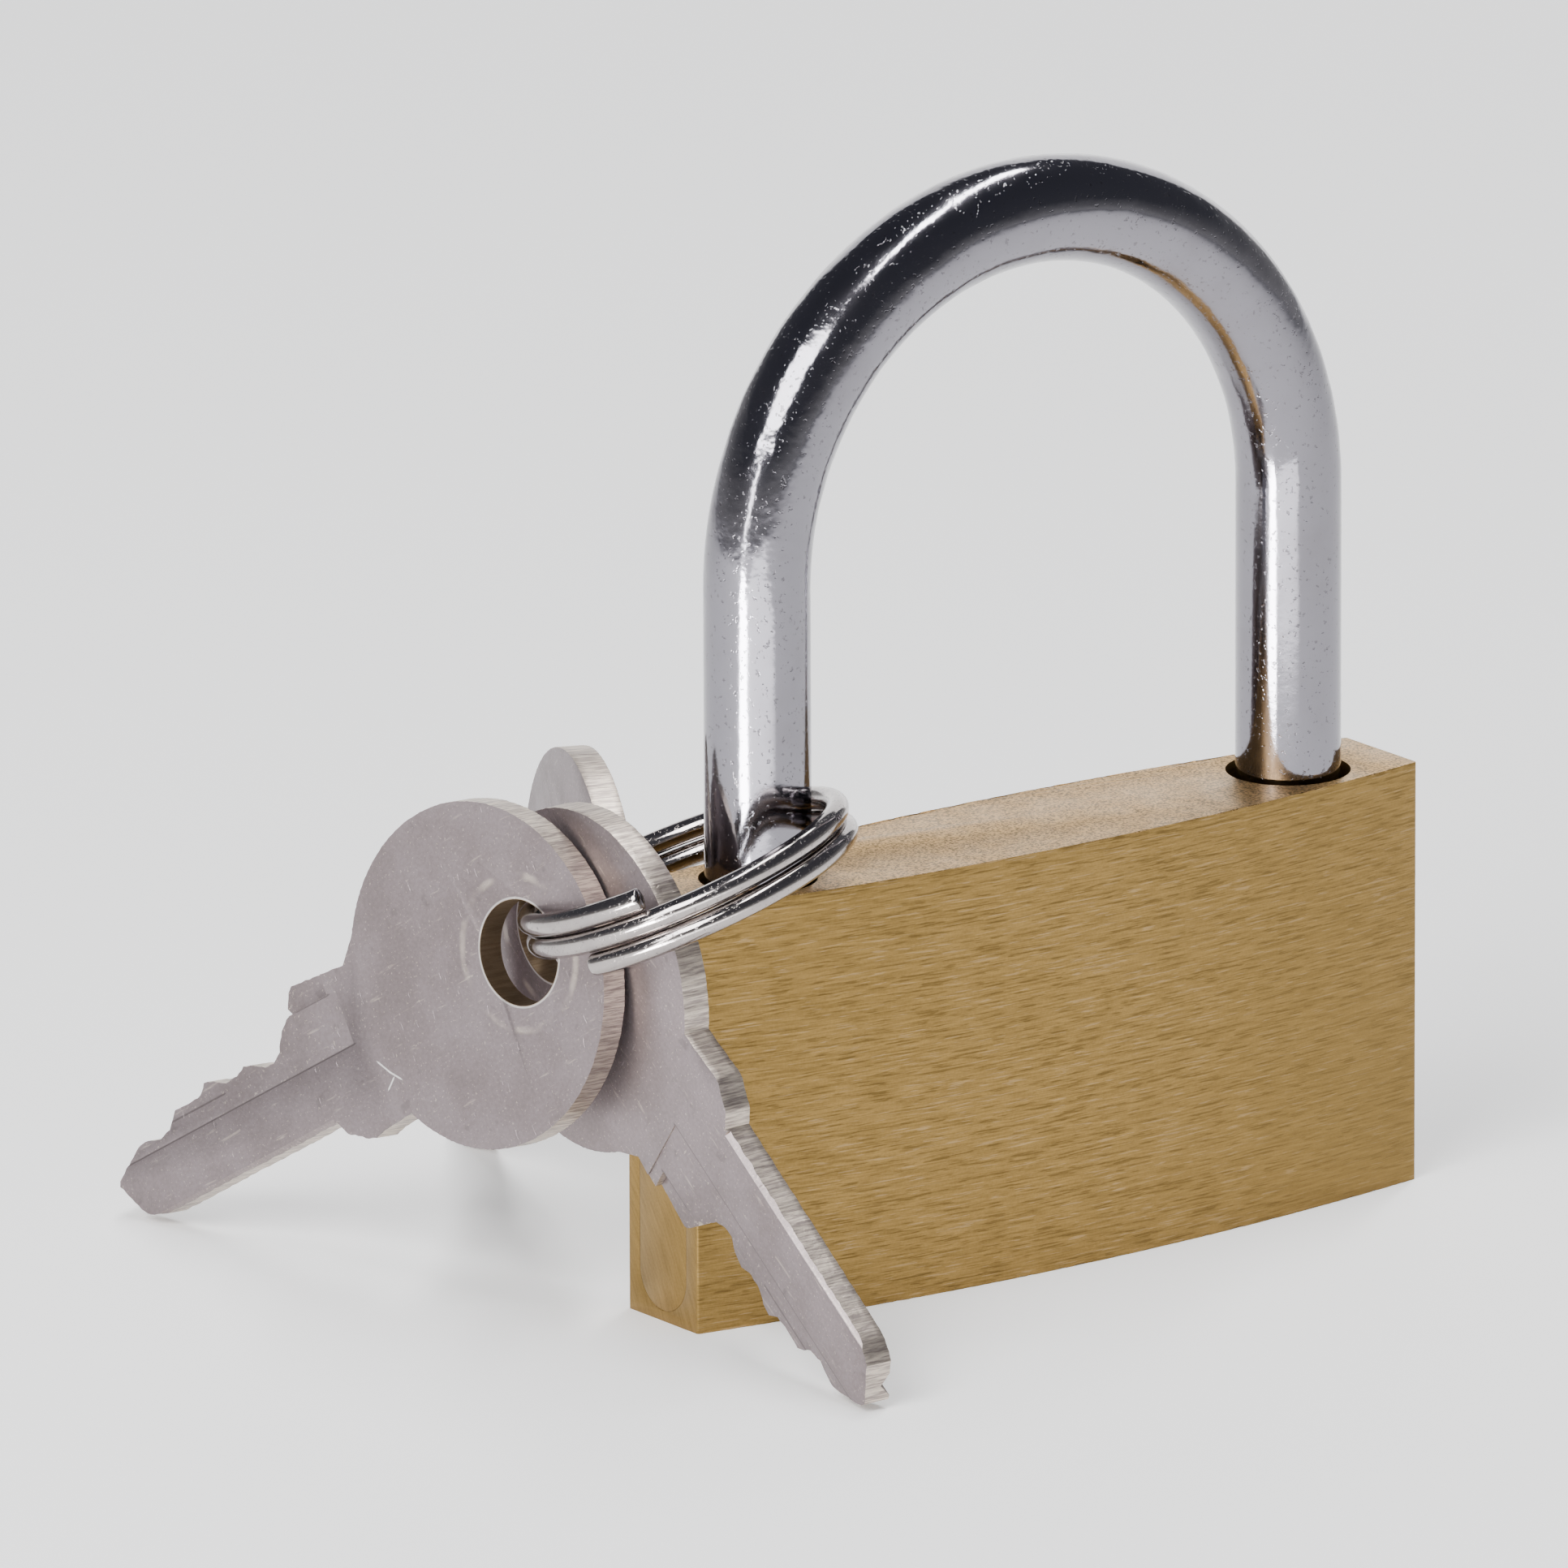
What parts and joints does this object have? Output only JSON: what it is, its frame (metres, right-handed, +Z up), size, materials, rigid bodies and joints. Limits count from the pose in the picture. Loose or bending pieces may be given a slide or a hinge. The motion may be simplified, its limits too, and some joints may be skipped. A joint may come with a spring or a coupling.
{
  "type": "padlock",
  "caption": "Slim brass pin-tumbler padlock with a round steel shackle, its lock works, and keys on a split ring round the shackle's toe leg.",
  "frame": {"origin": "centre of the lock body's flat bottom face", "axes": "+X along the body's width from the toe leg to the heel leg, -Y is the front face, +Z up towards the shackle"},
  "size_m": [0.0619, 0.058, 0.0622],
  "materials": {
    "body_brass": "satin, finely brushed",
    "works_brass": "turned, semi-bright",
    "shackle_steel": "bright nickel plate over steel, lightly pitted",
    "ring_steel": "glossy nickel-plated wire",
    "key_nickel": "satin nickel plate with bright cut edges",
    "spring_steel": "drawn wire"
  },
  "bodies": {
    "root": {"lock_body": "body_brass", "pin_cover_strip": "body_brass", "bolt_bore_plug": "body_brass", "shackle_retaining_pin": "works_brass", "plug_retaining_pin": "spring_steel", "shackle_spring": "spring_steel", "bolt_spring": "spring_steel", "pin_spring_1": "spring_steel", "pin_spring_2": "spring_steel", "pin_spring_3": "spring_steel", "pin_spring_4": "spring_steel"},
    "shackle": {"shackle": "shackle_steel"},
    "ring": {"split_ring": "ring_steel"},
    "key_1": {"key_1": "key_nickel"},
    "key_2": {"key_2": "key_nickel"},
    "key_3": {"key_3": "key_nickel"},
    "plug": {"plug": "works_brass"},
    "bolt": {"locking_bolt": "works_brass"},
    "key_pin_1": {"key_pin_1": "works_brass"},
    "key_pin_2": {"key_pin_2": "works_brass"},
    "key_pin_3": {"key_pin_3": "works_brass"},
    "key_pin_4": {"key_pin_4": "works_brass"},
    "driver_pin_1": {"driver_pin_1": "works_brass"},
    "driver_pin_2": {"driver_pin_2": "works_brass"},
    "driver_pin_3": {"driver_pin_3": "works_brass"},
    "driver_pin_4": {"driver_pin_4": "works_brass"}
  },
  "joints": [
    {"name": "shackle_lift", "type": "slide", "parent": "root", "child": "shackle", "axis": [0, 0, 1], "range_m": [0, 0.01], "deforming": ["shackle_spring"]},
    {"name": "ring_tilt", "type": "hinge", "parent": "shackle", "child": "ring", "pos_m": [-0.0154, 0, 0.0277], "axis": [0, 1, 0], "range_deg": [0, 40]},
    {"name": "key_1_swing", "type": "hinge", "parent": "ring", "child": "key_1", "pos_m": [-0.02931, 0.00641, 0.02049], "axis": [0.9808, 0.174, -0.088], "range_deg": [-20, 35]},
    {"name": "key_2_swing", "type": "hinge", "parent": "ring", "child": "key_2", "pos_m": [-0.02627, 0.00758, 0.021], "axis": [-0.9997, 0.004, -0.024], "range_deg": [-18, 22]},
    {"name": "key_3_swing", "type": "hinge", "parent": "ring", "child": "key_3", "pos_m": [-0.02205, 0.01008, 0.02137], "axis": [0.9313, -0.3641, -0.005], "range_deg": [0, 60]},
    {"name": "plug_turn", "type": "hinge", "parent": "root", "child": "plug", "pos_m": [-0.0075, 0, 0], "axis": [0, 0, 1], "range_deg": [0, 90]},
    {"name": "locking_bolt_slide", "type": "slide", "parent": "root", "child": "bolt", "axis": [1, 0, 0], "range_m": [-0.0022, 0]},
    {"name": "driver_pin_1_slide", "type": "slide", "parent": "root", "child": "driver_pin_1", "axis": [-1, 0, 0], "range_m": [-0.0009, 0]},
    {"name": "key_pin_1_slide", "type": "slide", "parent": "plug", "child": "key_pin_1", "axis": [-1, 0, 0], "range_m": [-0.0009, 0]},
    {"name": "driver_pin_2_slide", "type": "slide", "parent": "root", "child": "driver_pin_2", "axis": [-1, 0, 0], "range_m": [-0.0009, 0]},
    {"name": "key_pin_2_slide", "type": "slide", "parent": "plug", "child": "key_pin_2", "axis": [-1, 0, 0], "range_m": [-0.0009, 0]},
    {"name": "driver_pin_3_slide", "type": "slide", "parent": "root", "child": "driver_pin_3", "axis": [-1, 0, 0], "range_m": [-0.0009, 0]},
    {"name": "key_pin_3_slide", "type": "slide", "parent": "plug", "child": "key_pin_3", "axis": [-1, 0, 0], "range_m": [-0.0009, 0]},
    {"name": "driver_pin_4_slide", "type": "slide", "parent": "root", "child": "driver_pin_4", "axis": [-1, 0, 0], "range_m": [-0.0009, 0]},
    {"name": "key_pin_4_slide", "type": "slide", "parent": "plug", "child": "key_pin_4", "axis": [-1, 0, 0], "range_m": [-0.0009, 0]}
  ],
  "couplings": [
    {"joint": "key_pin_1_slide", "follows": "driver_pin_1_slide", "ratio": 1},
    {"joint": "key_pin_2_slide", "follows": "driver_pin_2_slide", "ratio": 1},
    {"joint": "key_pin_3_slide", "follows": "driver_pin_3_slide", "ratio": 1},
    {"joint": "key_pin_4_slide", "follows": "driver_pin_4_slide", "ratio": 1}
  ]
}
